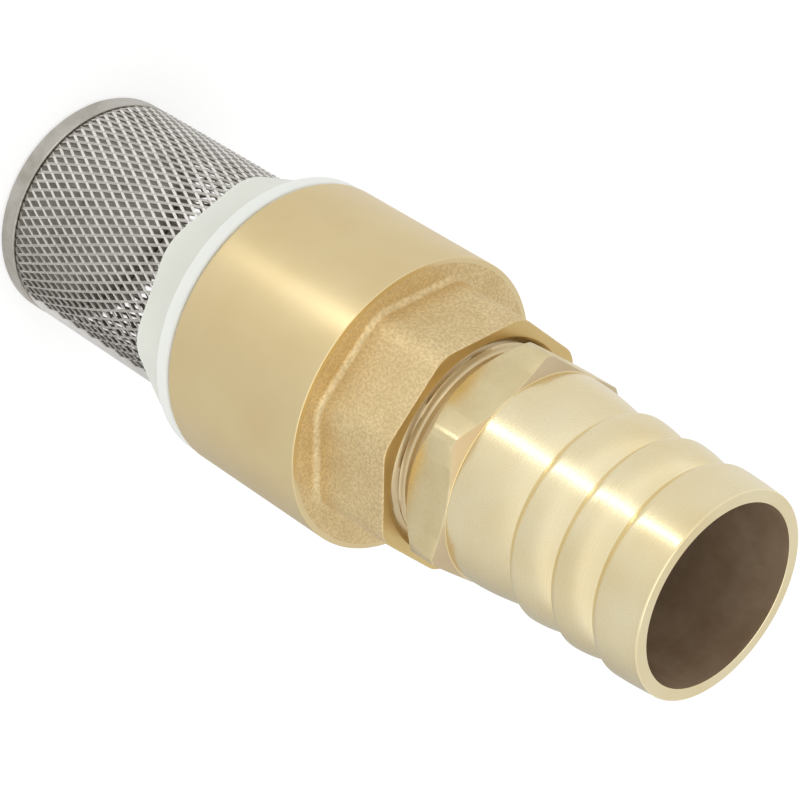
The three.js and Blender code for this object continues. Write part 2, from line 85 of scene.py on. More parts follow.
CAP_BOTTOM, CAP_TOP, CAP_R = span("strainer_end_cap")
STRAINER_BOTTOM, STRAINER_TOP, STRAINER_R = span("strainer_mesh")
HOLDER_BOTTOM, HOLDER_TOP, FLANGE_R = span("strainer_holder")
BODY_BOTTOM, BODY_TOP, BODY_R = span("valve_body")
SEAT_BOTTOM, SEAT_LIP, SEAT_RING_R = span("seat_ring")
STEM_BOTTOM, STEM_TOP, STEM_COLLAR_R = span("poppet_stem")
DISC_BOTTOM, DISC_TOP, DISC_R = span("poppet_disc")
SEAL_BOTTOM, SEAL_TOP, SEAL_R = span("disc_seal")
RETAINER_BOTTOM, RETAINER_TOP, RETAINER_R = span("seal_retainer")
NUT_BOTTOM, NUT_TOP, _ = span("retainer_nut")
GUIDE_BOTTOM, GUIDE_TOP, GUIDE_R = span("stem_guide")
BUSH_BOTTOM, BUSH_TOP, BUSH_FLANGE_R = span("guide_bush")
SPRING_BOTTOM, SPRING_TOP, SPRING_OUTER_R = span("return_spring")
GASKET_BOTTOM, GASKET_TOP, GASKET_R = span("tail_gasket")
TAIL_BOTTOM, TAIL_TOP, _ = span("hose_tail")

# Heights and radii inside a node's box
BODY_OCTAGON_LENGTH = 20.21
BODY_SHOULDER = BODY_TOP - BODY_OCTAGON_LENGTH
BODY_FLATS = 54.7
BODY_INLET_R = 30.7
BODY_CAVITY_R = 28.5
BODY_CAVITY_BOTTOM = 81.8
BODY_CAVITY_TOP = 106
BODY_OUTLET_R = 20.8
SOCKET_BOTTOM = 110.6
SOCKET_R = 23.95
SOCKET_MOUTH_R = 25.2
HOLDER_FLATS = 57.7
HOLDER_TURN = math.radians(19.45)
HOLDER_OCTAGON_LENGTH = 11.4
FLANGE_BOTTOM = HOLDER_BOTTOM + HOLDER_OCTAGON_LENGTH
PIECE_GAP = 0.3
FLANGE_TOP = BODY_BOTTOM - PIECE_GAP
HOLDER_SPIGOT_R = 30.4
HOLDER_BORE_R = 22.5
O_RING_GROOVE_R = 28.1
O_RING_CENTRE_R = 29.35
O_RING_R = 0.95
SEAT_R = 18.5
STEM_R = 3.9
STEM_HOLE_R = 4.3
TAIL_BORE_R = 20.55
TAIL_RELIEF_R = 22.35
THREAD_CREST_R = 23.75
THREAD_SHOWING = 1.25  # length of thread outside the body
THREAD_END = BODY_TOP + THREAD_SHOWING
THREAD_PITCH = 2.309
HEX_BOTTOM = 133.3
HEX_TOP = 145.0
HEX_FLATS = 49.2
HEX_TURN = math.radians(4.54)
HEX_CORNER_R = 27.9
BARREL_R = 24.3
BARREL_TOP = 147.0
BARB_R = 23.95
BARB_ROOT_R = 22.2
BARB_ROOTS = (161.4, 173.0, 184.3)
MOUTH_R = 23.4


# ---------------------------------------------------------------- mesh helpers


def rounded(points, steps=5):
    """Outline with round corners from (radius, z, corner radius) points. A corner radius of 0 stays sharp."""
    outline = []
    for i, (r, z, fillet) in enumerate(points):
        here = np.array((r, z), float)
        if fillet <= 0 or i in (0, len(points) - 1):
            outline.append(tuple(here))
            continue
        back = np.array(points[i - 1][:2], float) - here
        ahead = np.array(points[i + 1][:2], float) - here
        back /= np.linalg.norm(back)
        ahead /= np.linalg.norm(ahead)
        half = math.acos(np.clip(back @ ahead, -1, 1)) / 2
        middle = back + ahead
        centre = here + middle / np.linalg.norm(middle) * fillet / math.sin(half)
        start = here + back * fillet / math.tan(half) - centre
        end = here + ahead * fillet / math.tan(half) - centre
        turn = math.pi - 2 * half
        for step in range(steps + 1):
            t = step / steps
            arm = (math.sin((1 - t) * turn) * start + math.sin(t * turn) * end) / math.sin(turn)
            outline.append(tuple(centre + arm))
    return outline


def even_angles(columns, start=0.0):
    """Equal steps round the axis."""
    return start + np.arange(columns) * TAU / columns


def sided_angles(sides, turn, corner, flat_steps, corner_steps):
    """Steps round the axis that are closer together at each corner of a regular shape."""
    sector = TAU / sides
    flat = np.linspace(-sector / 2 + corner, sector / 2 - corner, flat_steps + 1)[:-1]
    bend = np.linspace(sector / 2 - corner, sector / 2 + corner, corner_steps + 1)[:-1]
    return np.concatenate([turn + i * sector + np.concatenate([flat, bend]) for i in range(sides)])


def sided_radius(angles, sides, flats, fillet, turn):
    """Distance from the axis to the edge of a regular shape with round corners, at each angle."""
    sector = TAU / sides
    apothem = flats / 2
    offset = np.abs((angles - turn + sector / 2) % sector - sector / 2)
    centre = (apothem - fillet) / math.cos(sector / 2)
    reach = (apothem - fillet) * math.tan(sector / 2)
    from_corner = offset - sector / 2
    under = np.maximum(fillet**2 - (centre * np.sin(from_corner)) ** 2, 0)
    arc = centre * np.cos(from_corner) + np.sqrt(under)
    return np.where(apothem * np.tan(offset) <= reach, apothem / np.cos(offset), arc)


def thread_radius(angles, z, root, crest, bottom, top):
    """Radius of a right-handed pipe thread at one height, fading out at both ends."""
    phase = ((z - THREAD_PITCH * angles / TAU) / THREAD_PITCH) % 1.0
    ridge = np.clip(1.15 * (1 - np.abs(2 * phase - 1)) - 0.07, 0, 1)
    fade = np.clip(min(z - bottom, top - z) / (0.5 * THREAD_PITCH), 0, 1)
    return root + (crest - root) * ridge * fade


def thread_rings(angles, root, crest, bottom, top, per_pitch=9):
    """Rings of a pipe thread from bottom to top."""
    count = round((top - bottom) / THREAD_PITCH * per_pitch)
    return [
        (thread_radius(angles, z, root, crest, bottom, top), z)
        for z in np.linspace(bottom, top, count)
    ]


def make_piece(name, vertices, faces, finishes, face_finishes=None, sharp=32):
    """Object from vertices in millimetres, shaded smooth apart from edges sharper than the given angle."""
    mesh = bpy.data.meshes.new(name)
    mesh.from_pydata((np.asarray(vertices, float) * MM).tolist(), [], faces)
    for finish in finishes:
        mesh.materials.append(finish)
    if face_finishes is not None:
        mesh.polygons.foreach_set("material_index", np.asarray(face_finishes, np.int32))
    mesh.validate()
    mesh.shade_smooth()
    mesh.set_sharp_from_angle(angle=math.radians(sharp))
    piece = bpy.data.objects.new(name, mesh)
    bpy.context.scene.collection.objects.link(piece)
    return piece


def loft_data(rings, angles, closed):
    """Vertices, faces and the band number of each face, for rings of (radius, z) round the axis.

    A radius or z is one number or one for each angle. A ring of radius 0 at either end is a pole.
    """
    columns = len(angles)
    vertices, starts, poles = [], [], []
    for radius, z in rings:
        starts.append(len(vertices))
        pole = np.isscalar(radius) and radius == 0
        poles.append(pole)
        if pole:
            vertices.append((0.0, 0.0, float(z)))
            continue
        r = np.broadcast_to(radius, columns)
        heights = np.broadcast_to(z, columns)
        vertices.extend(zip(r * np.cos(angles), r * np.sin(angles), heights))
    faces, bands = [], []
    count = len(rings)
    for i in range(count if closed else count - 1):
        j = (i + 1) % count
        for a in range(columns):
            b = (a + 1) % columns
            if poles[i] and poles[j]:
                continue
            if poles[i]:
                face = (starts[i], starts[j] + b, starts[j] + a)
            elif poles[j]:
                face = (starts[i] + a, starts[i] + b, starts[j])
            else:
                face = (starts[i] + a, starts[i] + b, starts[j] + b, starts[j] + a)
            faces.append(face)
            bands.append(i)
    return vertices, faces, bands


def loft(name, rings, angles, finishes, closed=True, finish_of=None, sharp=32):
    """Piece made of rings round the axis; finish_of gives the finish number of a band's first ring."""
    vertices, faces, bands = loft_data(rings, angles, closed)
    chosen = None if finish_of is None else [finish_of[band] for band in bands]
    piece = make_piece(name, vertices, faces, finishes, chosen, sharp)
    face_outward(piece)
    return piece


def face_outward(piece):
    """Makes every face of a closed piece point out of it."""
    shape = bmesh.new()
    shape.from_mesh(piece.data)
    bmesh.ops.recalc_face_normals(shape, faces=shape.faces)
    if shape.calc_volume(signed=True) < 0:
        bmesh.ops.reverse_faces(shape, faces=shape.faces)
    shape.to_mesh(piece.data)
    shape.free()


def round_edges(piece, width, angle=30, segments=2):
    """Rounds the sharp edges of a piece by a width in millimetres, for good."""
    bevel = piece.modifiers.new("edges", "BEVEL")
    bevel.width = width * MM
    bevel.segments = segments
    bevel.limit_method = "ANGLE"
    bevel.angle_limit = math.radians(angle)
    bevel.harden_normals = False
    settle(piece)


def settle(piece):
    """Applies a piece's modifiers to its mesh."""
    graph = bpy.context.evaluated_depsgraph_get()
    final = bpy.data.meshes.new_from_object(piece.evaluated_get(graph))
    piece.modifiers.clear()
    old, piece.data = piece.data, final
    bpy.data.meshes.remove(old)


def join_solids(piece, others):
    """Unites closed pieces into the first one and removes the rest."""
    for other in others:
        union = piece.modifiers.new("union", "BOOLEAN")
        union.operation = "UNION"
        union.solver = "EXACT"
        union.object = other
        settle(piece)
        bpy.data.objects.remove(other)
    piece.data.shade_smooth()
    piece.data.set_sharp_from_angle(angle=math.radians(32))


def install(piece, body, node):
    """The piece takes the place of its CAD node and moves with its body."""
    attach(piece, body)
    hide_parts(node)
    return piece


def turned_piece(node, outline, finish, body, columns=128, closed=True):
    """Plain turned piece from an outline with round corners."""
    rings = rounded(outline)
    piece = loft(f"{node}_fine", rings, even_angles(columns), [finish], closed)
    return install(piece, body, node)


# ---------------------------------------------------------------- materials


class Nodes:
    """Short way to build a material's node tree."""

    def __init__(self, name):
        self.material = bpy.data.materials.new(name)
        self.material.use_nodes = True
        self.tree = self.material.node_tree
        self.shader = self.tree.nodes["Principled BSDF"]
        self.where = self.add("ShaderNodeTexCoord").outputs["Object"]

    def add(self, kind, **settings):
        node = self.tree.nodes.new(kind)
        for key, value in settings.items():
            setattr(node, key, value)
        return node

    def link(self, source, target):
        self.tree.links.new(source, target)

    def feed(self, socket, value):
        if isinstance(value, bpy.types.NodeSocket):
            self.link(value, socket)
        else:
            socket.default_value = value

    def math(self, operation, a, b=0.0):
        node = self.add("ShaderNodeMath", operation=operation)
        self.feed(node.inputs[0], a)
        self.feed(node.inputs[1], b)
        return node.outputs[0]

    def noise(self, scale, detail=2.0, roughness=0.5):
        node = self.add("ShaderNodeTexNoise")
        node.inputs["Scale"].default_value = scale
        node.inputs["Detail"].default_value = detail
        node.inputs["Roughness"].default_value = roughness
        self.link(self.where, node.inputs["Vector"])
        return node.outputs["Fac"]

    def lines(self, along, scale, detail=3.0):
        """Noise that changes along one value only, so it draws parallel lines."""
        node = self.add("ShaderNodeTexNoise", noise_dimensions="1D")
        node.inputs["Scale"].default_value = scale
        node.inputs["Detail"].default_value = detail
        self.link(along, node.inputs["W"])
        return node.outputs["Fac"]

    def position(self):
        node = self.add("ShaderNodeSeparateXYZ")
        self.link(self.where, node.inputs[0])
        return node.outputs

    def radius(self):
        """Distance from the flow axis."""
        x, y, _ = self.position()
        return self.math("SQRT", self.math("ADD", self.math("MULTIPLY", x, x), self.math("MULTIPLY", y, y)))

    def remap(self, value, low, high, from_low=0.3, from_high=0.7):
        node = self.add("ShaderNodeMapRange")
        self.link(value, node.inputs["Value"])
        node.inputs["From Min"].default_value = from_low
        node.inputs["From Max"].default_value = from_high
        node.inputs["To Min"].default_value = low
        node.inputs["To Max"].default_value = high
        return node.outputs["Result"]

    def mix(self, factor, a, b, blend="MIX"):
        node = self.add("ShaderNodeMix", data_type="RGBA", blend_type=blend)
        self.feed(node.inputs["Factor"], factor)
        for socket, value in ((node.inputs["A"], a), (node.inputs["B"], b)):
            self.feed(socket, value if isinstance(value, bpy.types.NodeSocket) else (*value, 1))
        return node.outputs["Result"]

    def bump(self, height, strength, distance, below=None):
        node = self.add("ShaderNodeBump")
        node.inputs["Strength"].default_value = strength
        node.inputs["Distance"].default_value = distance * MM
        self.link(height, node.inputs["Height"])
        if below is not None:
            self.link(below, node.inputs["Normal"])
        return node.outputs["Normal"]

    def finish(self, colour, roughness, normal=None, **plain):
        self.feed(self.shader.inputs["Base Color"], colour)
        self.feed(self.shader.inputs["Roughness"], roughness)
        if normal is not None:
            self.link(normal, self.shader.inputs["Normal"])
        for key, value in plain.items():
            self.shader.inputs[key.replace("_", " ")].default_value = value
        return self.material


def turned_metal(name, pale, deep, rough_low, rough_high, line_scale, line_strength, across="z"):
    """Metal with fine tool lines round the axis (across z) or in rings on a face (across the radius)."""
    n = Nodes(name)
    along = n.position()[2] if across == "z" else n.radius()
    coarse = n.lines(along, line_scale / 6)
    fine = n.lines(along, line_scale)
    clouds = n.noise(60, 3)
    streaks = n.remap(fine, 0, 1)
    colour = n.mix(n.remap(clouds, 0, 1), deep, pale)
    colour = n.mix(n.remap(streaks, 0.0, 0.16, 0, 1), colour, deep)
    roughness = n.math("ADD", n.remap(fine, rough_low, rough_high), n.remap(clouds, 0, 0.04))
    normal = n.bump(coarse, line_strength * 0.5, 0.02)
    normal = n.bump(fine, line_strength, 0.008, normal)
    return n.finish(colour, roughness, normal, Metallic=1.0)


def cast_metal(name, pale, deep, rough_low, rough_high, grain, strength, speckle=0.1):
    """Blasted casting: fine grain, soft lumps and small pits."""
    n = Nodes(name)
    fine = n.noise(grain, 3, 0.6)
    lumps = n.noise(grain / 9, 2)
    colour = n.mix(n.remap(lumps, 0, 1), deep, pale)
    colour = n.mix(n.remap(fine, speckle, 0.0, 0.43, 0.58), colour, tuple(0.72 * part for part in deep))
    roughness = n.remap(fine, rough_high, rough_low)
    normal = n.bump(lumps, strength * 0.12, 0.12)
    normal = n.bump(fine, strength, 0.15, normal)
    return n.finish(colour, roughness, normal, Metallic=1.0)


def dark_bore_finish():
    """Inside of the tail: dull dark brown, nearly not metallic, darker in patches, with faint boring marks.
    """
    n = Nodes("dark_brown_bore")
    patches = n.noise(90, 4, 0.6)
    marks = n.lines(n.position()[2], 1500)
    colour = n.mix(n.remap(patches, 0, 1), (0.25, 0.165, 0.095), (0.38, 0.28, 0.185))
    roughness = n.remap(patches, 0.62, 0.5)
    normal = n.bump(marks, 0.15, 0.03)
    normal = n.bump(n.noise(1400, 2), 0.25, 0.03, normal)
    return n.finish(colour, roughness, normal, Metallic=0.1)


def moulded_nylon():
    """Milky natural nylon with a faint moulding grain; the flange and everything above it carry a painted
    highlight that makes them lighter than the octagon.
    """
    n = Nodes("moulded_white_nylon")
    clouds = n.noise(45, 3)
    grain = n.noise(900, 2)
    colour = n.mix(n.remap(clouds, 0, 1), (0.70, 0.715, 0.64), (0.76, 0.775, 0.71))
    # Painted highlight: lighter colour from just above the flange's lower face upwards.
    lit_flange = n.remap(n.position()[2], 0, 0.8, FLANGE_BOTTOM * MM, (FLANGE_BOTTOM + 0.8) * MM)
    colour = n.mix(lit_flange, colour, (0.81, 0.825, 0.79))
    roughness = n.remap(grain, 0.42, 0.55)
    normal = n.bump(grain, 0.12, 0.03)
    normal = n.bump(n.noise(160, 2), 0.12, 0.12, normal)
    return n.finish(
        colour, roughness, normal,
        Subsurface_Weight=0.35, Subsurface_Radius=(0.0022, 0.0022, 0.0018), Subsurface_Scale=1.0,
    )


def pressed_steel():
    """Rolled stainless sheet, drawn over a die: fine round lines, faint stains."""
    n = Nodes("pressed_stainless")
    lines = n.lines(n.position()[2], 2600)
    stains = n.noise(130, 4, 0.65)
    grain = n.noise(1800, 2)
    colour = n.mix(n.remap(stains, 0, 1, 0.42, 0.7), (0.56, 0.535, 0.485), (0.43, 0.40, 0.345))
    roughness = n.math("ADD", n.remap(grain, 0.30, 0.42), n.remap(stains, 0, 0.10))
    normal = n.bump(lines, 0.10, 0.02)
    normal = n.bump(stains, 0.18, 0.10, normal)
    return n.finish(colour, roughness, normal, Metallic=1.0)


def strand_steel(name, pale, deep):
    """Slit and stretched stainless sheet with a little variation between strands. It is made in a lit copy, a
    darker copy with painted shade for the strands that lean away, and a dark copy with painted shade for the
    inside.
    """
    n = Nodes(name)
    clouds = n.noise(220, 3)
    grain = n.noise(2600, 2)
    colour = n.mix(n.remap(clouds, 0, 1), deep, pale)
    roughness = n.remap(grain, 0.26, 0.42)
    return n.finish(colour, roughness, n.bump(grain, 0.25, 0.02), Metallic=1.0)


def drawn_wire():
    """Spring wire: even grey with drawing marks."""
    n = Nodes("drawn_spring_wire")
    grain = n.noise(1500, 3)
    colour = n.mix(n.remap(grain, 0, 1), (0.42, 0.42, 0.41), (0.55, 0.55, 0.54))
    return n.finish(colour, n.remap(grain, 0.24, 0.36), n.bump(grain, 0.15, 0.01), Metallic=1.0)


def moulded_rubber():
    """Black nitrile rubber with a dull, slightly dusty skin."""
    n = Nodes("nitrile_rubber")
    dust = n.noise(400, 4, 0.7)
    colour = n.mix(n.remap(dust, 0, 1), (0.012, 0.012, 0.013), (0.035, 0.034, 0.033))
    return n.finish(colour, n.remap(dust, 0.55, 0.75), n.bump(dust, 0.2, 0.03))


def natural_acetal():
    """Cream acetal, smooth and a little waxy."""
    n = Nodes("natural_acetal")
    clouds = n.noise(120, 2)
    colour = n.mix(n.remap(clouds, 0, 1), (0.72, 0.68, 0.58), (0.80, 0.77, 0.68))
    return n.finish(
        colour, n.remap(clouds, 0.3, 0.4), n.bump(clouds, 0.1, 0.05),
        Subsurface_Weight=0.2, Subsurface_Radius=(0.002, 0.002, 0.0015), Subsurface_Scale=1.0,
    )


def red_fibre():
    """Vulcanised fibre with short hairs in it."""
    n = Nodes("red_vulcanised_fibre")
    hairs = n.noise(1600, 4, 0.7)
    colour = n.mix(n.remap(hairs, 0, 1), (0.20, 0.035, 0.022), (0.32, 0.07, 0.045))
    return n.finish(colour, n.remap(hairs, 0.8, 0.65), n.bump(hairs, 0.35, 0.05))


PALE_GOLD = (0.80, 0.655, 0.375)
DEEP_GOLD = (0.70, 0.53, 0.25)
BARREL_BRASS = turned_metal("turned_brass_barrel", PALE_GOLD, (0.76, 0.60, 0.32), 0.28, 0.36, 2600, 0.03)
CAST_BRASS = cast_metal("cast_brass", (0.84, 0.68, 0.39), (0.76, 0.59, 0.32), 0.5, 0.6, 1500, 0.8, 0.5)
FACE_BRASS = turned_metal(
    "faced_brass", (0.79, 0.61, 0.30), (0.71, 0.52, 0.22), 0.28, 0.4, 2200, 0.14, across="radius",
)
TAIL_BRASS = turned_metal(
    "bright_tail_brass", (0.89, 0.79, 0.53), (0.85, 0.71, 0.42), 0.19, 0.27, 3200, 0.05,
)
HEX_BRASS = cast_metal("drawn_hexagon_brass", (0.80, 0.68, 0.41), (0.73, 0.60, 0.34), 0.26, 0.36, 1100, 0.08)
# Rough turned brass for the rear chamfer; its paler colour is painted light from the floor.
LIT_CHAMFER_BRASS = turned_metal(
    "chamfered_brass", (0.88, 0.79, 0.62), (0.82, 0.71, 0.52), 0.42, 0.5, 1800, 0.1,
)
# Darker copy of the hexagon brass with painted shade, for the front chamfer facets.
SHADED_FRONT_CHAMFER_BRASS = turned_metal(
    "hexagon_front_chamfer_shaded_brass", (0.70, 0.58, 0.39), (0.62, 0.49, 0.31), 0.36, 0.44, 1800, 0.1,
)
# Rougher brass for the thread and relief; its darker colour is painted shade of the recess between body and
# hexagon.
SHADED_THREAD_BRASS = turned_metal(
    "threaded_brass", (0.74, 0.62, 0.40), (0.66, 0.52, 0.30), 0.32, 0.42, 2400, 0.1,
)
INNER_BRASS = turned_metal("inner_brass", PALE_GOLD, DEEP_GOLD, 0.24, 0.36, 2400, 0.2)
BORE_BRASS = dark_bore_finish()
NYLON = moulded_nylon()
STAINLESS = pressed_steel()
# Lit copy and darker copy with painted shade of the same strand steel, for the two strand directions.
LIT_STRAND_STEEL = strand_steel("expanded_stainless", (0.93, 0.90, 0.86), (0.80, 0.77, 0.72))
SHADED_STRAND_STEEL = strand_steel("painted_shade_strand_stainless", (0.62, 0.595, 0.55), (0.48, 0.455, 0.41))
# Dark copy of the strand steel with painted shade, for the mesh's inner faces.
PAINTED_SHADE_INSIDE_STEEL = strand_steel("painted_shade_inside_stainless", (0.26, 0.245, 0.225), (0.15, 0.14, 0.125))
SPRING_STEEL = drawn_wire()
RUBBER = moulded_rubber()
ACETAL = natural_acetal()
FIBRE = red_fibre()


# ---------------------------------------------------------------- strainer basket


def strainer_end_cap():
    """Pressed cup with round edges and a ring of shallow crimp marks that hold the mesh."""
    wall = 0.7
    edge = 0.32
    marks = 18
    columns = marks * 12
    angles = even_angles(columns)
    outline = rounded([
        (0, CAP_BOTTOM, 0),
        (CAP_R, CAP_BOTTOM, 1.0),
        (CAP_R, CAP_TOP, edge),
        (CAP_R - wall, CAP_TOP, edge),
        (CAP_R - wall, CAP_BOTTOM + 0.8, 0.6),
        (0, CAP_BOTTOM + 0.8, 0),
    ])
    band_z = (CAP_BOTTOM + CAP_TOP) / 2 + 0.3
    sides = [(CAP_R, z) for z in np.linspace(CAP_BOTTOM + 1.2, CAP_TOP - 0.5, 14)]
    first_top = next(i for i, p in enumerate(outline) if p[1] > CAP_TOP - edge - 0.01)
    split = next(i for i, p in enumerate(outline[1:], 1) if p[1] >= CAP_BOTTOM + 0.99)
    rings = []
    for r, z in outline[: split + 1] + sides + outline[first_top:]:
        if r >= CAP_R - 0.001 and CAP_BOTTOM + 1 < z < CAP_TOP - edge:
            across = (angles * marks / TAU) % 1.0 - 0.5
            spot = np.exp(-((across * 7.5) ** 2) - ((z - band_z) / 0.75) ** 2)
            rings.append((r - 0.16 * spot, z))
        else:
            rings.append((r if r > 0 else 0, z))
    piece = loft("strainer_end_cap_fine", rings, angles, [STAINLESS], closed=False)
    return install(piece, HOUSING, "strainer_end_cap")


def strainer_mesh():
    """Expanded metal: slit along the axis and stretched round it, so each strand leans like a louvre."""
    columns = 2 * 74
    rows = 20
    bottom, top = CAP_TOP - 0.9, HOLDER_BOTTOM + 2.6
    thickness = 0.34
    strand = 0.155
    lean = 0.24
    seam = {u % columns for u in range(columns - 8, columns + 3)}
    middle_r = STRAINER_R - 0.45
    neck_r = CAP_R - 0.7 - 0.45

    def sheet_radius(z):
        blend = np.clip((z - (CAP_TOP - 0.2)) / 1.3, 0, 1)
        return neck_r + (middle_r - neck_r) * blend * blend * (3 - 2 * blend)

    vertices, faces, shades, seen = [], [], [], {}
    # Finish numbers: the lit copy, the copy with painted shade (one strand direction, cut edges and plain
    # bands), and the dark copy with painted shade (inner faces).
    bright, dim, inside = 0, 1, 2

    def corner(u, v, outward, lift):
        u %= columns
        key = (round(u, 4), round(v, 4), outward)
        if key not in seen:
            z = bottom + (top - bottom) * v / rows
            r = sheet_radius(z) + (thickness / 2 if outward else -thickness / 2) + lift
            angle = TAU * u / columns
            seen[key] = len(vertices)
            vertices.append((r * math.cos(angle), r * math.sin(angle), z))
        return seen[key]

    def diamond(u, v):
        directions = ((1, 0), (0, 1), (-1, 0), (0, -1))
        keep = 1 - 2 * strand
        outer = [corner(u + du, v + dv, True, 0) for du, dv in directions]
        inner = [corner(u + du, v + dv, False, 0) for du, dv in directions]
        if u % columns in seam:
            faces.extend([tuple(outer), tuple(reversed(inner))])
            shades.extend([bright, inside])
            return
        outer_hole = [corner(u + du * keep, v + dv * keep, True, du * lean) for du, dv in directions]
        inner_hole = [corner(u + du * keep, v + dv * keep, False, du * lean) for du, dv in directions]
        for i in range(4):
            j = (i + 1) % 4
            # Alternate sides of each hole take the lit copy and the copy with painted shade.
            side = bright if i % 2 else dim
            shades.extend([side, inside, side])
            faces.append((outer[i], outer[j], outer_hole[j], outer_hole[i]))
            # Inner faces take the dark copy with painted shade.
            faces.append((inner[i], inner_hole[i], inner_hole[j], inner[j]))
            faces.append((outer_hole[i], outer_hole[j], inner_hole[j], inner_hole[i]))

    for v in range(1, rows):
        for u in range(v % 2 == 0, columns, 2):
            diamond(u, v)

    edges = ((0, 1), (rows, rows - 1))
    for edge_row, next_row in edges:
        for u in range(1 + (rows % 2 if edge_row else 0), columns + 1, 2):
            for outward in (True, False):
                faces.append((
                    corner(u - 1, edge_row, outward, 0),
                    corner(u + 1, edge_row, outward, 0),
                    corner(u, next_row, outward, 0),
                ))
            faces.append((
                corner(u - 1, edge_row, True, 0),
                corner(u + 1, edge_row, True, 0),
                corner(u + 1, edge_row, False, 0),
                corner(u - 1, edge_row, False, 0),
            ))
    plain_bands = ((neck_r, STRAINER_BOTTOM, bottom + 0.2), (middle_r, top - 0.2, STRAINER_TOP))
    for r, low, high in plain_bands:
        inside_r, outside_r = r - thickness / 2, r + thickness / 2
        outline = [(inside_r, low), (outside_r, low), (outside_r, high), (inside_r, high)]
        ring_vertices, ring_faces, _ = loft_data(outline, even_angles(columns), True)
        faces.extend(tuple(len(vertices) + i for i in face) for face in ring_faces)
        vertices.extend(ring_vertices)
    shades += [dim] * (len(faces) - len(shades))
    finishes = [LIT_STRAND_STEEL, SHADED_STRAND_STEEL, PAINTED_SHADE_INSIDE_STEEL]
    piece = make_piece("strainer_mesh_fine", vertices, faces, finishes, shades, sharp=25)
    face_outward(piece)
    return install(piece, HOUSING, "strainer_mesh")


# ---------------------------------------------------------------- strainer holder and O-rings


def strainer_holder():
    """Moulded octagon with soft corners, the round flange and the threaded spigot inside the body."""
    corner_fillet = 12.0
    angles = sided_angles(8, HOLDER_TURN, math.radians(10.5), 8, 12)
    octagon = sided_radius(angles, 8, HOLDER_FLATS, corner_fillet, HOLDER_TURN)
    recess_r = STRAINER_R + 0.3
    groove_z = 70.4
    rings = [(recess_r, HOLDER_BOTTOM + 0.25), (recess_r + 0.25, HOLDER_BOTTOM)]
    edge = 0.7
    for step in range(6):
        a = step / 5 * math.pi / 2
        rings.append((octagon - edge * (1 - math.sin(a)), HOLDER_BOTTOM + edge * (1 - math.cos(a))))
    root = 0.8
    for step in range(6):
        a = step / 5 * math.pi / 2
        rings.append((octagon + root * (1 - math.cos(a)), FLANGE_BOTTOM - root * (1 - math.sin(a))))
    lip = 0.9
    rings += rounded([
        (FLANGE_R - 2.5, FLANGE_BOTTOM, 0),
        (FLANGE_R, FLANGE_BOTTOM, lip),
        (FLANGE_R, FLANGE_TOP, lip),
        (HOLDER_SPIGOT_R, FLANGE_TOP, 0.2),
        (HOLDER_SPIGOT_R, groove_z - 1.3, 0.15),
        (O_RING_GROOVE_R, groove_z - 1.3, 0.2),
        (O_RING_GROOVE_R, groove_z + 1.3, 0.2),
        (HOLDER_SPIGOT_R, groove_z + 1.3, 0.15),
        (HOLDER_SPIGOT_R, groove_z + 1.8, 0),
    ])
    rings += thread_rings(angles, HOLDER_SPIGOT_R - 0.9, HOLDER_SPIGOT_R, groove_z + 2.0, HOLDER_TOP - 0.5)
    rings += rounded([
        (HOLDER_SPIGOT_R - 1.4, HOLDER_TOP, 0),
        (HOLDER_BORE_R, HOLDER_TOP, 0.5),
        (HOLDER_BORE_R, STRAINER_TOP + 0.3, 0.4),
        (recess_r, STRAINER_TOP + 0.3, 0.3),
        (recess_r, HOLDER_BOTTOM + 1.5, 0),
    ])
    piece = loft("strainer_holder_fine", rings, angles, [NYLON])
    return install(piece, HOUSING, "strainer_holder")


def o_ring(node):
    """Rubber cord ring, with the fine flash line that its mould leaves."""
    low, high, _ = span(node)
    middle = (low + high) / 2
    section = []
    for i in range(20):
        a = TAU * i / 20
        flash = 0.03 if i in (0, 10) else 0
        reach = O_RING_R + flash
        section.append((O_RING_CENTRE_R + reach * math.cos(a), middle + reach * math.sin(a)))
    piece = loft(f"{node}_fine", section, even_angles(144), [RUBBER])
    return install(piece, HOUSING, node)


def seat_ring():
    """Brass ring with the raised lip that the poppet's seal closes on."""
    groove = 1.3
    groove_z = (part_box("seat_o_ring")[0].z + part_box("seat_o_ring")[1].z) / 2 / MM
    top = SEAT_LIP - 1
    outline = [
        (SEAT_R, SEAT_LIP - 2, 0),
        (SEAT_R, SEAT_LIP - 3, 0.6),
        (HOLDER_BORE_R - 0.2, SEAT_BOTTOM, 0.3),
        (SEAT_RING_R, SEAT_BOTTOM, 0.3),
        (SEAT_RING_R, groove_z - groove, 0.12),
        (O_RING_GROOVE_R, groove_z - groove, 0.2),
        (O_RING_GROOVE_R, groove_z + groove, 0.2),
        (SEAT_RING_R, groove_z + groove, 0.12),
        (SEAT_RING_R, top, 0.3),
        (SEAT_R + 3, top, 0.4),
        (SEAT_R + 2, SEAT_LIP, 0.35),
        (SEAT_R, SEAT_LIP, 0.35),
        (SEAT_R, SEAT_LIP - 0.8, 0),
    ]
    return turned_piece("seat_ring", outline, INNER_BRASS, HOUSING, 160)


# ---------------------------------------------------------------- valve body


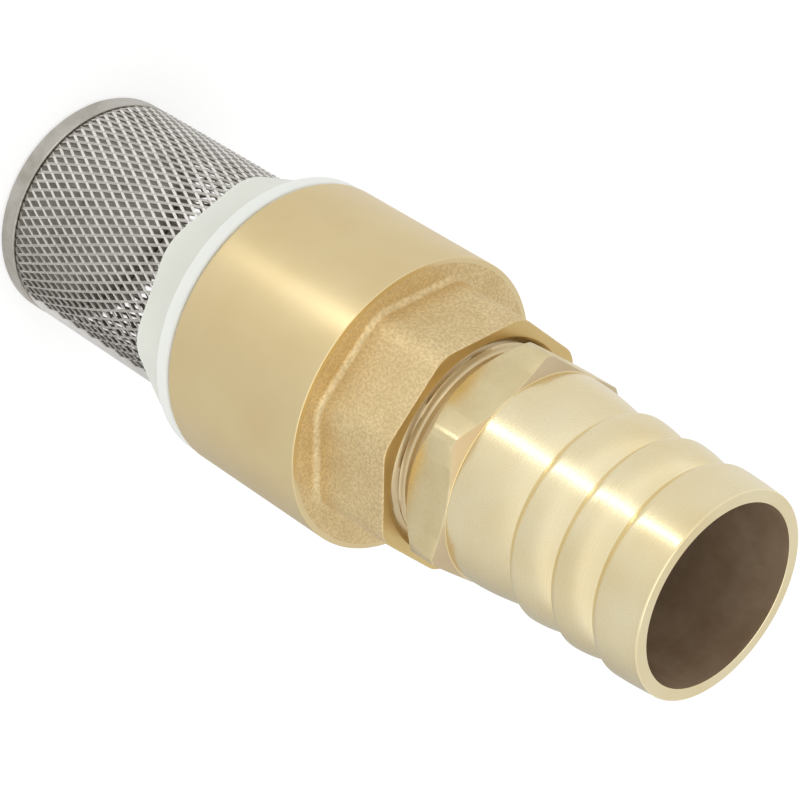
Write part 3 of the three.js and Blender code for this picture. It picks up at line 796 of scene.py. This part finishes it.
def valve_body():
    """Turned barrel, cast shoulder and octagon, faced end, threaded socket and the bore through them."""
    corner_fillet = 7.5
    angles = sided_angles(8, 0.0, math.radians(7), 14, 12)
    octagon = sided_radius(angles, 8, BODY_FLATS, corner_fillet, 0.0)
    barrel, cast, faced, inner = 0, 1, 2, 3
    rings, finish_of = [], []

    def extend(new_rings, finish):
        rings.extend(new_rings)
        finish_of.extend([finish] * len(new_rings))

    extend(rounded([
        (BODY_INLET_R + 0.7, BODY_BOTTOM, 0),
        (BODY_R, BODY_BOTTOM, 0.9),
        (BODY_R, BODY_SHOULDER, 0.3),
        (BODY_R - 1.2, BODY_SHOULDER, 0),
    ], steps=6)[:-1], barrel)
    extend([(BODY_R - 1.2, BODY_SHOULDER)], cast)
    root = 1.5
    for step in range(8):
        a = step / 7 * math.pi / 2
        extend([(octagon + root * (1 - math.sin(a)), BODY_SHOULDER + root * (1 - math.cos(a)))], cast)
    edge = 0.25
    extend([(octagon, BODY_TOP - edge), (octagon - 0.4 * edge, BODY_TOP - 0.4 * edge)], cast)
    extend([(octagon - edge, BODY_TOP)], faced)
    mouth = SOCKET_MOUTH_R - SOCKET_R
    extend(rounded([
        (SOCKET_MOUTH_R + 0.6, BODY_TOP, 0),
        (SOCKET_MOUTH_R, BODY_TOP, 0.2),
        (SOCKET_R, BODY_TOP - mouth, 0),
    ]), faced)
    female = thread_rings(angles, SOCKET_R, SOCKET_R - 1.25, GASKET_TOP + 0.4, BODY_TOP - mouth - 0.1)
    extend(female[::-1], inner)
    extend(rounded([
        (SOCKET_R, SOCKET_BOTTOM + 0.4, 0),
        (SOCKET_R, SOCKET_BOTTOM, 0.2),
        (BODY_OUTLET_R, SOCKET_BOTTOM, 0.4),
        (BODY_OUTLET_R, BODY_CAVITY_TOP, 0.6),
        (BODY_CAVITY_R, BODY_CAVITY_TOP, 1.2),
        (BODY_CAVITY_R, BODY_CAVITY_BOTTOM, 0.4),
        (BODY_INLET_R, BODY_CAVITY_BOTTOM, 0.2),
        (BODY_INLET_R, BODY_BOTTOM + 0.7, 0.2),
        (BODY_INLET_R + 0.65, BODY_BOTTOM + 0.05, 0),
    ]), inner)
    piece = loft(
        "valve_body_fine", rings, angles, [BARREL_BRASS, CAST_BRASS, FACE_BRASS, INNER_BRASS],
        finish_of=finish_of,
    )
    return install(piece, HOUSING, "valve_body")


# ---------------------------------------------------------------- hose tail


def fall(start, end, crest_r, end_r, steps):
    """Curve that leaves the crest along the axis and falls to a smaller radius."""
    points = []
    for i in range(1, steps + 1):
        s = i / steps
        points.append((crest_r - (crest_r - end_r) * s**1.7, start + (end - start) * s))
    return points


def barb(start, end, end_r):
    """Outline of one barb: a steep round climb, then a long falling curve towards the mouth."""
    crest = start + (end - start) * 0.24
    points = []
    for i in range(10):
        s = i / 9
        climb = 1 - (1 - s) ** 1.7
        points.append((BARB_ROOT_R + (BARB_R - BARB_ROOT_R) * climb, start + (crest - start) * s))
    return points + fall(crest, end, BARB_R, end_r, 14)[:-1]


def hose_tail():
    """Threaded spigot, relief, hexagon with chamfered corners, three barbs and the plain bore."""
    angles = sided_angles(6, HEX_TURN, math.radians(1.6), 30, 6)
    hexagon = np.minimum(sided_radius(angles, 6, HEX_FLATS, 1.0, HEX_TURN), HEX_CORNER_R)
    shank, flats, bore, chamfer, thread, corner = range(6)
    rings, finish_of = [], []

    def extend(new_rings, finish):
        rings.extend(new_rings)
        finish_of.extend([finish] * len(new_rings))

    # Thread and relief take the darker brass with painted shade.
    extend([(TAIL_BORE_R + 0.6, TAIL_BOTTOM), (TAIL_RELIEF_R - 0.2, TAIL_BOTTOM)], thread)
    extend(thread_rings(angles, TAIL_RELIEF_R, THREAD_CREST_R, TAIL_BOTTOM + 0.2, THREAD_END, 10), thread)
    rear_r, front_r = 24.2, 24.4
    extend(rounded([
        (TAIL_RELIEF_R, THREAD_END + 0.2, 0),
        (TAIL_RELIEF_R, HEX_BOTTOM, 0.6),
        (rear_r - 0.3, HEX_BOTTOM, 0),
    ]), thread)
    back = HEX_BOTTOM + (hexagon - rear_r)
    front = HEX_TOP - (hexagon - front_r) * 0.42
    # The rear chamfer takes the rough brass with painted light in its paler colour.
    extend([(rear_r - 0.12, HEX_BOTTOM + 0.03), (rear_r, HEX_BOTTOM + 0.12)], chamfer)
    extend([(hexagon - 0.14, back - 0.1), (hexagon, back + 0.16)], flats)
    extend([(hexagon, front - 0.16)], flats)
    # The front chamfer facets take the brass copy with painted shade.
    extend([(hexagon - 0.14, front + 0.06)], corner)
    extend([(front_r + 0.06, HEX_TOP)], shank)
    extend([(BARREL_R, HEX_TOP + 0.05), (BARREL_R, HEX_TOP + 1), (BARREL_R, BARREL_TOP)], shank)
    extend(fall(BARREL_TOP, BARB_ROOTS[0], BARREL_R, BARB_ROOT_R, 20)[:-1], shank)
    lip = 0.9
    barb_ends = (*BARB_ROOTS[1:], TAIL_TOP - lip)
    for start, end, end_r in zip(BARB_ROOTS, barb_ends, (BARB_ROOT_R, BARB_ROOT_R, MOUTH_R)):
        extend(barb(start, end, end_r), shank)
    extend(rounded([
        (MOUTH_R, TAIL_TOP - lip, 0),
        (MOUTH_R, TAIL_TOP, 0.45),
        (TAIL_BORE_R, TAIL_TOP, 0.2),
        (TAIL_BORE_R, TAIL_TOP - 1.0, 0),
    ], steps=10), shank)
    finish_of[-2:] = [bore, bore]
    extend([(TAIL_BORE_R, z) for z in np.linspace(TAIL_TOP - 2, TAIL_BOTTOM + 1, 24)], bore)
    extend([(TAIL_BORE_R + 0.3, TAIL_BOTTOM + 0.2)], shank)
    finishes = [TAIL_BRASS, HEX_BRASS, BORE_BRASS, LIT_CHAMFER_BRASS, SHADED_THREAD_BRASS, SHADED_FRONT_CHAMFER_BRASS]
    piece = loft("hose_tail_fine", rings, angles, finishes, finish_of=finish_of)
    return install(piece, HOUSING, "hose_tail")


def tail_gasket():
    outline = [
        (TAIL_BORE_R + 0.5, (GASKET_BOTTOM + GASKET_TOP) / 2, 0),
        (TAIL_BORE_R + 0.5, GASKET_BOTTOM, 0.2),
        (GASKET_R, GASKET_BOTTOM, 0.2),
        (GASKET_R, GASKET_TOP, 0.2),
        (TAIL_BORE_R + 0.5, GASKET_TOP, 0.2),
        (TAIL_BORE_R + 0.5, (GASKET_BOTTOM + GASKET_TOP) / 2 + 0.1, 0),
    ]
    return turned_piece("tail_gasket", outline, FIBRE, HOUSING, 120)


# ---------------------------------------------------------------- poppet


def washer_outline(inner, outer, bottom, top, edge):
    """Outline of a flat ring with round edges."""
    middle = (bottom + top) / 2
    return [
        (inner, middle, 0),
        (inner, bottom, edge),
        (outer, bottom, edge),
        (outer, top, edge),
        (inner, top, edge),
        (inner, middle + 0.05, 0),
    ]


def metric_rings(angles, root, crest, bottom, top, pitch=1.25, per_pitch=8):
    """Rings of a fine right-handed screw thread."""
    rings = []
    for z in np.linspace(bottom, top, round((top - bottom) / pitch * per_pitch)):
        phase = ((z - pitch * angles / TAU) / pitch) % 1.0
        fade = min(1.0, (z - bottom) / pitch, (top - z) / pitch)
        rings.append((root + (crest - root) * (1 - np.abs(2 * phase - 1)) * max(fade, 0), z))
    return rings


def poppet_stem():
    """Rod with a threaded lower end, a collar on the disc and a rounded upper end."""
    angles = even_angles(64)
    rings = [(0, STEM_BOTTOM), (STEM_R - 0.9, STEM_BOTTOM)]
    rings += metric_rings(angles, STEM_R - 0.65, STEM_R, STEM_BOTTOM + 0.4, RETAINER_BOTTOM)
    rings += rounded([
        (STEM_R, RETAINER_BOTTOM + 0.3, 0),
        (STEM_R, DISC_TOP + 0.3, 0.1),
        (STEM_COLLAR_R, DISC_TOP + 0.3, 0.3),
        (STEM_COLLAR_R, DISC_TOP + 2.3, 0.6),
        (STEM_R, DISC_TOP + 2.3, 0.4),
        (STEM_R, STEM_TOP, 0.8),
        (0.001, STEM_TOP, 0),
    ])[:-1]
    rings.append((0, STEM_TOP))
    piece = loft("poppet_stem_fine", rings, angles, [STAINLESS], closed=False)
    return install(piece, POPPET, "poppet_stem")


def poppet_disc():
    """Disc with a bevelled edge and a raised boss under the stem's collar."""
    outline = [
        (STEM_HOLE_R, DISC_BOTTOM + 1, 0),
        (STEM_HOLE_R, DISC_BOTTOM, 0.2),
        (DISC_R, DISC_BOTTOM, 0.25),
        (DISC_R, DISC_BOTTOM + 1, 0.3),
        (DISC_R - 2, DISC_TOP - 0.35, 0.8),
        (11.5, DISC_TOP - 0.35, 0.3),
        (10.9, DISC_TOP, 0.2),
        (STEM_HOLE_R, DISC_TOP, 0.2),
        (STEM_HOLE_R, DISC_BOTTOM + 1.1, 0),
    ]
    return turned_piece("poppet_disc", outline, INNER_BRASS, POPPET, 144)


def retainer_nut():
    """Hexagon lock nut with chamfered corners and a threaded hole."""
    angles = sided_angles(6, 0.0, math.radians(2), 10, 4)
    hexagon = sided_radius(angles, 6, 13.0, 0.35, 0.0)
    start = 6.35
    low = NUT_BOTTOM + np.maximum(hexagon - start, 0) * 0.6
    high = NUT_TOP - np.maximum(hexagon - start, 0) * 0.6
    rings = [(STEM_HOLE_R + 0.3, NUT_BOTTOM), (start, NUT_BOTTOM), (hexagon, low), (hexagon, high)]
    rings += [(start, NUT_TOP), (STEM_HOLE_R + 0.3, NUT_TOP)]
    rings += metric_rings(angles, STEM_HOLE_R, STEM_HOLE_R - 0.25, NUT_BOTTOM + 0.4, NUT_TOP - 0.4)[::-1]
    piece = loft("retainer_nut_fine", rings, angles, [STAINLESS])
    return install(piece, POPPET, "retainer_nut")


# ---------------------------------------------------------------- guide and spring


def stem_guide():
    """Spider: ring, hub with the spring's pocket, and four arms."""
    pocket_r, pocket_top, hub_r = 10.2, 107.7, 12.0
    ring_bore_r, ring_top = 25.6, BODY_CAVITY_TOP - 0.3
    bush_r = 6.3
    hub = rounded([
        (hub_r, GUIDE_BOTTOM + 1, 0),
        (hub_r, pocket_top + 1.3, 1.0),
        (9.0, GUIDE_TOP, 0.5),
        (bush_r, GUIDE_TOP, 0.2),
        (bush_r, BUSH_BOTTOM - 0.3, 0.1),
        (STEM_HOLE_R + 0.3, BUSH_BOTTOM - 0.3, 0.1),
        (STEM_HOLE_R + 0.3, pocket_top, 0.2),
        (pocket_r, pocket_top, 0.5),
        (pocket_r, GUIDE_BOTTOM, 0.3),
        (hub_r, GUIDE_BOTTOM, 0.3),
        (hub_r, GUIDE_BOTTOM + 0.9, 0),
    ])
    guide = loft("stem_guide_fine", hub, even_angles(96), [CAST_BRASS])
    ring = rounded(washer_outline(ring_bore_r, GUIDE_R, GUIDE_BOTTOM, ring_top, 0.4))
    parts = [loft("guide_ring", ring, even_angles(144), [CAST_BRASS])]
    width, height = 3.0, ring_top - GUIDE_BOTTOM
    length = ring_bore_r - hub_r + 1.6
    for i in range(4):
        arm = make_piece(f"guide_arm_{i}", *bar(length, width, height), [CAST_BRASS])
        round_edges(arm, 0.35)
        shift = Matrix.Translation(Vector(((hub_r + ring_bore_r) / 2, 0, GUIDE_BOTTOM + height / 2)) * MM)
        arm.data.transform(Matrix.Rotation((i + 0.5) * TAU / 4, 4, "Z") @ shift)
        parts.append(arm)
    join_solids(guide, parts)
    return install(guide, HOUSING, "stem_guide")


def bar(length, width, height):
    """Vertices and faces of a box about its centre."""
    x, y, z = length / 2, width / 2, height / 2
    vertices = [(i, j, k) for i in (-x, x) for j in (-y, y) for k in (-z, z)]
    faces = [(0, 1, 3, 2), (4, 6, 7, 5), (0, 4, 5, 1), (2, 3, 7, 6), (0, 2, 6, 4), (1, 5, 7, 3)]
    return vertices, faces


def guide_bush():
    inner = STEM_HOLE_R - 0.1
    flange = 1.2
    outline = [
        (inner, BUSH_BOTTOM + 2, 0),
        (inner, BUSH_BOTTOM, 0.3),
        (6.0, BUSH_BOTTOM, 0.3),
        (6.0, BUSH_TOP - flange, 0.15),
        (BUSH_FLANGE_R, BUSH_TOP - flange, 0.2),
        (BUSH_FLANGE_R, BUSH_TOP, 0.35),
        (inner, BUSH_TOP, 0.35),
        (inner, BUSH_BOTTOM + 2.1, 0),
    ]
    return turned_piece("guide_bush", outline, ACETAL, HOUSING, 96)


def return_spring():
    """Compression spring with closed end turns."""
    wire_r, turns, closed, closed_pitch = 0.6, 6, 0.9, 1.26
    coil_r = SPRING_OUTER_R - wire_r
    bottom, top = SPRING_BOTTOM + wire_r, SPRING_TOP - wire_r
    open_turns = turns - 2 * closed
    open_pitch = (top - bottom - 2 * closed * closed_pitch) / open_turns
    sides = 14
    steps = turns * 48
    vertices, faces = [], []
    for i in range(steps + 1):
        turn = turns * i / steps
        rise = min(turn, closed) * closed_pitch + max(turn - (turns - closed), 0) * closed_pitch
        rise += min(max(turn - closed, 0), open_turns) * open_pitch
        angle = TAU * turn
        out = np.array((math.cos(angle), math.sin(angle), 0))
        centre = out * coil_r + np.array((0, 0, bottom + rise))
        for k in range(sides):
            b = TAU * k / sides
            vertices.append(tuple(centre + wire_r * (math.cos(b) * out + math.sin(b) * np.array((0, 0, 1)))))
    for i in range(steps):
        for k in range(sides):
            j = (k + 1) % sides
            faces.append((i * sides + k, i * sides + j, (i + 1) * sides + j, (i + 1) * sides + k))
    faces.append(tuple(range(sides)))
    faces.append(tuple(steps * sides + k for k in reversed(range(sides))))
    piece = make_piece("return_spring_fine", vertices, faces, [SPRING_STEEL])
    face_outward(piece)
    install(piece, HOUSING, "return_spring")
    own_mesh(piece)
    return piece


# ---------------------------------------------------------------- stage, light and camera


def area_light(name, location, target, size, power):
    """Soft box that points at the target; size is (width, height) in metres."""
    data = bpy.data.lights.new(name, "AREA")
    data.shape = "RECTANGLE"
    data.size, data.size_y = size
    data.energy = power
    lamp = bpy.data.objects.new(name, data)
    aim = (Vector(target) - Vector(location)).to_track_quat("-Z", "Y").to_matrix().to_4x4()
    lamp.matrix_world = Matrix.Translation(location) @ aim
    lamp.visible_camera = False
    bpy.context.scene.collection.objects.link(lamp)
    return lamp


def glow_card(name, corners, faces, strength):
    """Emissive mesh that only shows in reflections, and the node tree of its material."""
    mesh = bpy.data.meshes.new(name)
    mesh.from_pydata(corners, [], faces)
    card = bpy.data.objects.new(name, mesh)
    n = Nodes(name)
    n.finish((0, 0, 0, 1), 1.0, Emission_Strength=strength)
    n.shader.inputs["Emission Color"].default_value = (1, 1, 1, 1)
    n.shader.inputs["Specular IOR Level"].default_value = 0
    mesh.materials.append(n.material)
    card.visible_camera = card.visible_diffuse = card.visible_shadow = card.visible_transmission = False
    bpy.context.scene.collection.objects.link(card)
    return n


def floor_glow(levels, near=0.02, far=0.9, steps=96):
    """Ring on the floor that only shows in reflections and whose brightness changes softly round the axis.

    levels holds (direction in degrees from -Y to +X, brightness) pairs from -180 to 180.
    """
    z = CAD_BOX[0][2] + 0.0006
    turns = even_angles(steps)
    corners = [(r * math.cos(a), r * math.sin(a), z) for r in (near, far) for a in turns]
    faces = [(i, steps + i, steps + (i + 1) % steps, (i + 1) % steps) for i in range(steps)]
    n = glow_card("floor_glow", corners, faces, 1.0)
    x, y, _ = n.position()
    bearing = n.math("ARCTAN2", x, n.math("MULTIPLY", y, -1.0))
    ramp = n.add("ShaderNodeValToRGB")
    n.link(n.remap(bearing, 0, 1, -math.pi, math.pi), ramp.inputs["Fac"])
    stops = ramp.color_ramp.elements
    for degrees, level in levels[1:-1]:
        stops.new(degrees / 360 + 0.5).color = (level, level, level, 1)
    stops[0].color = (*[levels[0][1]] * 3, 1)
    stops[-1].color = (*[levels[-1][1]] * 3, 1)
    n.link(ramp.outputs["Color"], n.shader.inputs["Emission Color"])


def arc_streak(name, direction, width, radiance, start, stop):
    """Bright band on the floor that curves up at a constant distance from a point on the axis.

    direction is in degrees from -Y to +X; start and stop are elevations seen from that point, in degrees.
    """
    height, reach, clearance, steps = 0.17, 0.285, 0.002, 37
    bearing = math.radians(direction - 90)
    out = Vector((math.cos(bearing), math.sin(bearing), 0))
    side = Vector((-out.y, out.x, 0))
    corners = []
    for elevation in np.radians(np.linspace(start, stop, steps)):
        drop = (height - clearance) / -math.sin(elevation) if elevation < 0 else reach
        far = min(reach, drop)
        middle = out * far * math.cos(elevation) + Vector((0, 0, height + far * math.sin(elevation)))
        half = width / 2 * far / reach
        corners += [tuple(middle - side * half), tuple(middle + side * half)]
    faces = [(i, i + 1, i + 3, i + 2) for i in range(0, len(corners) - 2, 2)]
    glow_card(name, corners, faces, radiance)


def studio():
    """Pale floor, soft white surroundings, one big overhead light and shapes that show in reflections."""
    mesh = bpy.data.meshes.new("floor")
    half = 4.0
    z = CAD_BOX[0][2] - 0.0002
    corners = [(-half, -half, z), (half, -half, z), (half, half, z), (-half, half, z)]
    mesh.from_pydata(corners, [], [(0, 1, 2, 3)])
    floor = bpy.data.objects.new("floor", mesh)
    n = Nodes("pale_floor")
    n.finish((0.50, 0.50, 0.50, 1), 0.95, Emission_Strength=1.0)
    n.shader.inputs["Emission Color"].default_value = (0.58, 0.58, 0.58, 1)
    n.shader.inputs["Specular IOR Level"].default_value = 0.1
    mesh.materials.append(n.material)
    bpy.context.scene.collection.objects.link(floor)

    world = bpy.data.worlds.new("studio")
    world.use_nodes = True
    tree = world.node_tree
    where = tree.nodes.new("ShaderNodeTexCoord")
    towards = tree.nodes.new("ShaderNodeVectorMath")
    towards.operation = "DOT_PRODUCT"
    towards.inputs[1].default_value = (0, 0.8, 0.6)
    level = tree.nodes.new("ShaderNodeMapRange")
    for key, value in (("From Min", 0.4), ("From Max", 0.95), ("To Min", 0.92), ("To Max", 0.8)):
        level.inputs[key].default_value = value
    tree.links.new(where.outputs["Generated"], towards.inputs[0])
    tree.links.new(towards.outputs["Value"], level.inputs["Value"])
    tree.links.new(level.outputs["Result"], tree.nodes["Background"].inputs["Strength"])
    tree.nodes["Background"].inputs["Color"].default_value = (1, 1, 1, 1)
    bpy.context.scene.world = world

    area_light("overhead", (0.2, -0.3, 1.6), (0, 0, 0.1), (1.6, 1.6), 5)
    arc_streak("tail_streak", -21.5, 0.010, 9, -42, 12)
    arc_streak("barrel_streak", -21.5, 0.03, 1.6, -60, -42)
    floor_glow([
        (-180, 0.68), (-158, 0.83), (-40, 0.83), (0, 0.88), (40, 0.76), (90, 0.75), (145, 0.52), (162, 0.52),
        (180, 0.68),
    ])


def camera():
    """Long lens, looking down at the upright valve and rolled so that the tail points to the lower right."""
    elevation, roll, distance = math.radians(36.75), math.radians(122.09), 0.6734
    middle = Vector((0.0006, 0, 0.1057))
    forward = Vector((0, math.cos(elevation), -math.sin(elevation)))
    level_up = Vector((0, math.sin(elevation), math.cos(elevation)))
    right = math.cos(roll) * Vector((1, 0, 0)) + math.sin(roll) * level_up
    up = -math.sin(roll) * Vector((1, 0, 0)) + math.cos(roll) * level_up
    data = bpy.data.cameras.new("camera")
    data.sensor_width = 36
    data.lens = 142.1
    data.clip_start = 0.01
    view = bpy.data.objects.new("camera", data)
    axes = Matrix((right, up, -forward)).transposed().to_4x4()
    view.matrix_world = Matrix.Translation(middle - forward * distance) @ axes
    bpy.context.scene.collection.objects.link(view)
    bpy.context.scene.camera = view


# ---------------------------------------------------------------- the scene

camera()
studio()
strainer_end_cap()
strainer_mesh()
strainer_holder()
o_ring("holder_o_ring")
seat_ring()
o_ring("seat_o_ring")
valve_body()
poppet_stem()
poppet_disc()
turned_piece("disc_seal", washer_outline(STEM_HOLE_R, SEAL_R, SEAL_BOTTOM, SEAL_TOP, 0.35), RUBBER, POPPET,
             144)
turned_piece("seal_retainer", washer_outline(STEM_HOLE_R, RETAINER_R, RETAINER_BOTTOM, RETAINER_TOP, 0.3),
             STAINLESS, POPPET, 128)
retainer_nut()
stem_guide()
guide_bush()
return_spring()
tail_gasket()
hose_tail()
bpy.context.scene.view_settings.view_transform = "Standard"
